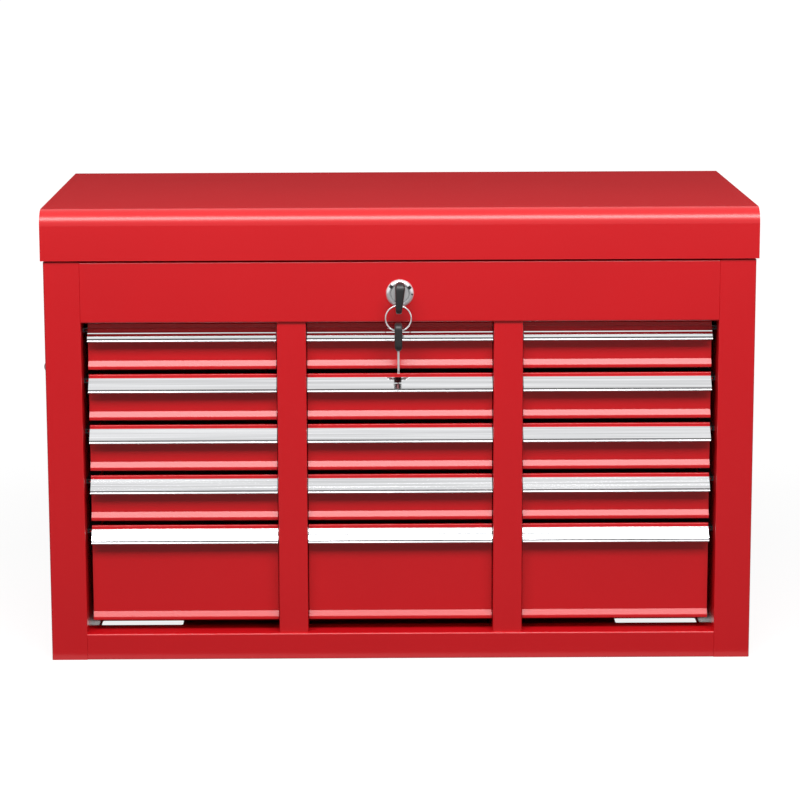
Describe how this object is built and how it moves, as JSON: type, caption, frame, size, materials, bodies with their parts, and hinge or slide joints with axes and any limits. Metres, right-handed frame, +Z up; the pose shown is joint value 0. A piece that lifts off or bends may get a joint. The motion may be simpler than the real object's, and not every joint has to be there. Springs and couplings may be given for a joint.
{
  "type": "portable tool box with drawers",
  "caption": "Portable steel tool box: a till with a lock under a rear-hinged lid, above three columns of shallow and deep drawers with full-width bright metal pulls.",
  "frame": {"origin": "centre of the base's underside, on the surface the box stands on", "axes": "+Z up, +X to the right seen from the front, -Y towards the user: the drawers open towards -Y"},
  "size_m": [0.6824, 0.3258, 0.426],
  "materials": {
    "red_paint": "glossy red powder coat",
    "pull_metal": "bright drawn, streaked along its length",
    "zinc_plate": "zinc plated",
    "black_paint": "satin black",
    "lock_chrome": "polished",
    "plug_steel": "nickel plated, satin",
    "handle_chrome": "bright plated",
    "black_plastic": "moulded, satin"
  },
  "bodies": {
    "cabinet": {"left_side_panel": "red_paint", "right_side_panel": "red_paint", "back_panel": "red_paint", "base_pan": "red_paint", "front_panel": "red_paint", "left_divider": "red_paint", "right_divider": "red_paint", "inner_walls": "red_paint", "till_floor": "red_paint", "drawer_runners": "zinc_plate", "hinge_fixed_leaf": "zinc_plate", "hinge_pin": "zinc_plate", "cabinet_strut_studs": "zinc_plate", "lock_housing": "lock_chrome", "lock_nut": "zinc_plate", "handle_brackets": "zinc_plate", "rivets": "zinc_plate"},
    "lid": {"lid": "red_paint", "lid_striker": "zinc_plate", "hinge_lid_leaf": "zinc_plate", "lid_strut_studs": "zinc_plate"},
    "strut_tube": {"strut_tubes": "black_paint"},
    "strut_rod": {"strut_rods": "lock_chrome"},
    "left_drawer_5": {"left_drawer_5": "red_paint", "left_pull_5": "pull_metal"},
    "left_drawer_4": {"left_drawer_4": "red_paint", "left_pull_4": "pull_metal"},
    "left_drawer_3": {"left_drawer_3": "red_paint", "left_pull_3": "pull_metal"},
    "left_drawer_2": {"left_drawer_2": "red_paint", "left_pull_2": "pull_metal"},
    "left_drawer_1": {"left_drawer_1": "red_paint", "left_pull_1": "pull_metal"},
    "centre_drawer_5": {"centre_drawer_5": "red_paint", "centre_pull_5": "pull_metal"},
    "centre_drawer_4": {"centre_drawer_4": "red_paint", "centre_pull_4": "pull_metal"},
    "centre_drawer_3": {"centre_drawer_3": "red_paint", "centre_pull_3": "pull_metal"},
    "centre_drawer_2": {"centre_drawer_2": "red_paint", "centre_pull_2": "pull_metal"},
    "centre_drawer_1": {"centre_drawer_1": "red_paint", "centre_pull_1": "pull_metal"},
    "right_drawer_5": {"right_drawer_5": "red_paint", "right_pull_5": "pull_metal"},
    "right_drawer_4": {"right_drawer_4": "red_paint", "right_pull_4": "pull_metal"},
    "right_drawer_3": {"right_drawer_3": "red_paint", "right_pull_3": "pull_metal"},
    "right_drawer_2": {"right_drawer_2": "red_paint", "right_pull_2": "pull_metal"},
    "right_drawer_1": {"right_drawer_1": "red_paint", "right_pull_1": "pull_metal"},
    "lock_plug": {"lock_plug": "plug_steel", "lock_cam": "zinc_plate", "cam_screw": "zinc_plate"},
    "key": {"key_blade": "plug_steel", "key_head": "black_plastic"},
    "left_handle": {"left_handle": "handle_chrome"},
    "right_handle": {"right_handle": "handle_chrome"}
  },
  "joints": [
    {"name": "lid_hinge", "type": "hinge", "parent": "cabinet", "child": "lid", "pos_m": [0, 0.1535, 0.3785], "axis": [-1, 0, 0], "range_deg": [0, 75]},
    {"name": "strut_tube_pivot", "type": "hinge", "parent": "cabinet", "child": "strut_tube", "pos_m": [0, 0.11201, 0.33243], "axis": [-1, 0, 0], "range_deg": [0, 37.5]},
    {"name": "strut_rod_pivot", "type": "hinge", "parent": "lid", "child": "strut_rod", "pos_m": [0, 0.09826, 0.40665], "axis": [-1, 0, 0], "range_deg": [-37.5, 0]},
    {"name": "left_drawer_5_slide", "type": "slide", "parent": "cabinet", "child": "left_drawer_5", "axis": [0, -1, 0], "range_m": [0, 0.2]},
    {"name": "left_drawer_4_slide", "type": "slide", "parent": "cabinet", "child": "left_drawer_4", "axis": [0, -1, 0], "range_m": [0, 0.2]},
    {"name": "left_drawer_3_slide", "type": "slide", "parent": "cabinet", "child": "left_drawer_3", "axis": [0, -1, 0], "range_m": [0, 0.2]},
    {"name": "left_drawer_2_slide", "type": "slide", "parent": "cabinet", "child": "left_drawer_2", "axis": [0, -1, 0], "range_m": [0, 0.2]},
    {"name": "left_drawer_1_slide", "type": "slide", "parent": "cabinet", "child": "left_drawer_1", "axis": [0, -1, 0], "range_m": [0, 0.2]},
    {"name": "centre_drawer_5_slide", "type": "slide", "parent": "cabinet", "child": "centre_drawer_5", "axis": [0, -1, 0], "range_m": [0, 0.2]},
    {"name": "centre_drawer_4_slide", "type": "slide", "parent": "cabinet", "child": "centre_drawer_4", "axis": [0, -1, 0], "range_m": [0, 0.2]},
    {"name": "centre_drawer_3_slide", "type": "slide", "parent": "cabinet", "child": "centre_drawer_3", "axis": [0, -1, 0], "range_m": [0, 0.2]},
    {"name": "centre_drawer_2_slide", "type": "slide", "parent": "cabinet", "child": "centre_drawer_2", "axis": [0, -1, 0], "range_m": [0, 0.2]},
    {"name": "centre_drawer_1_slide", "type": "slide", "parent": "cabinet", "child": "centre_drawer_1", "axis": [0, -1, 0], "range_m": [0, 0.2]},
    {"name": "right_drawer_5_slide", "type": "slide", "parent": "cabinet", "child": "right_drawer_5", "axis": [0, -1, 0], "range_m": [0, 0.2]},
    {"name": "right_drawer_4_slide", "type": "slide", "parent": "cabinet", "child": "right_drawer_4", "axis": [0, -1, 0], "range_m": [0, 0.2]},
    {"name": "right_drawer_3_slide", "type": "slide", "parent": "cabinet", "child": "right_drawer_3", "axis": [0, -1, 0], "range_m": [0, 0.2]},
    {"name": "right_drawer_2_slide", "type": "slide", "parent": "cabinet", "child": "right_drawer_2", "axis": [0, -1, 0], "range_m": [0, 0.2]},
    {"name": "right_drawer_1_slide", "type": "slide", "parent": "cabinet", "child": "right_drawer_1", "axis": [0, -1, 0], "range_m": [0, 0.2]},
    {"name": "lock_turn", "type": "hinge", "parent": "cabinet", "child": "lock_plug", "pos_m": [0, -0.14, 0.348], "axis": [0, -1, 0], "range_deg": [0, 90]},
    {"name": "key_pull_out", "type": "slide", "parent": "lock_plug", "child": "key", "axis": [0, -1, 0], "range_m": [0, 0.03]},
    {"name": "left_handle_swing", "type": "hinge", "parent": "cabinet", "child": "left_handle", "pos_m": [-0.33475, 0, 0.262], "axis": [0, 1, 0], "range_deg": [0, 90]},
    {"name": "right_handle_swing", "type": "hinge", "parent": "cabinet", "child": "right_handle", "pos_m": [0.33475, 0, 0.262], "axis": [0, -1, 0], "range_deg": [0, 90]}
  ],
  "couplings": [
    {"joint": "strut_tube_pivot", "follows": "lid_hinge", "ratio": 0.5},
    {"joint": "strut_rod_pivot", "follows": "lid_hinge", "ratio": -0.5}
  ]
}
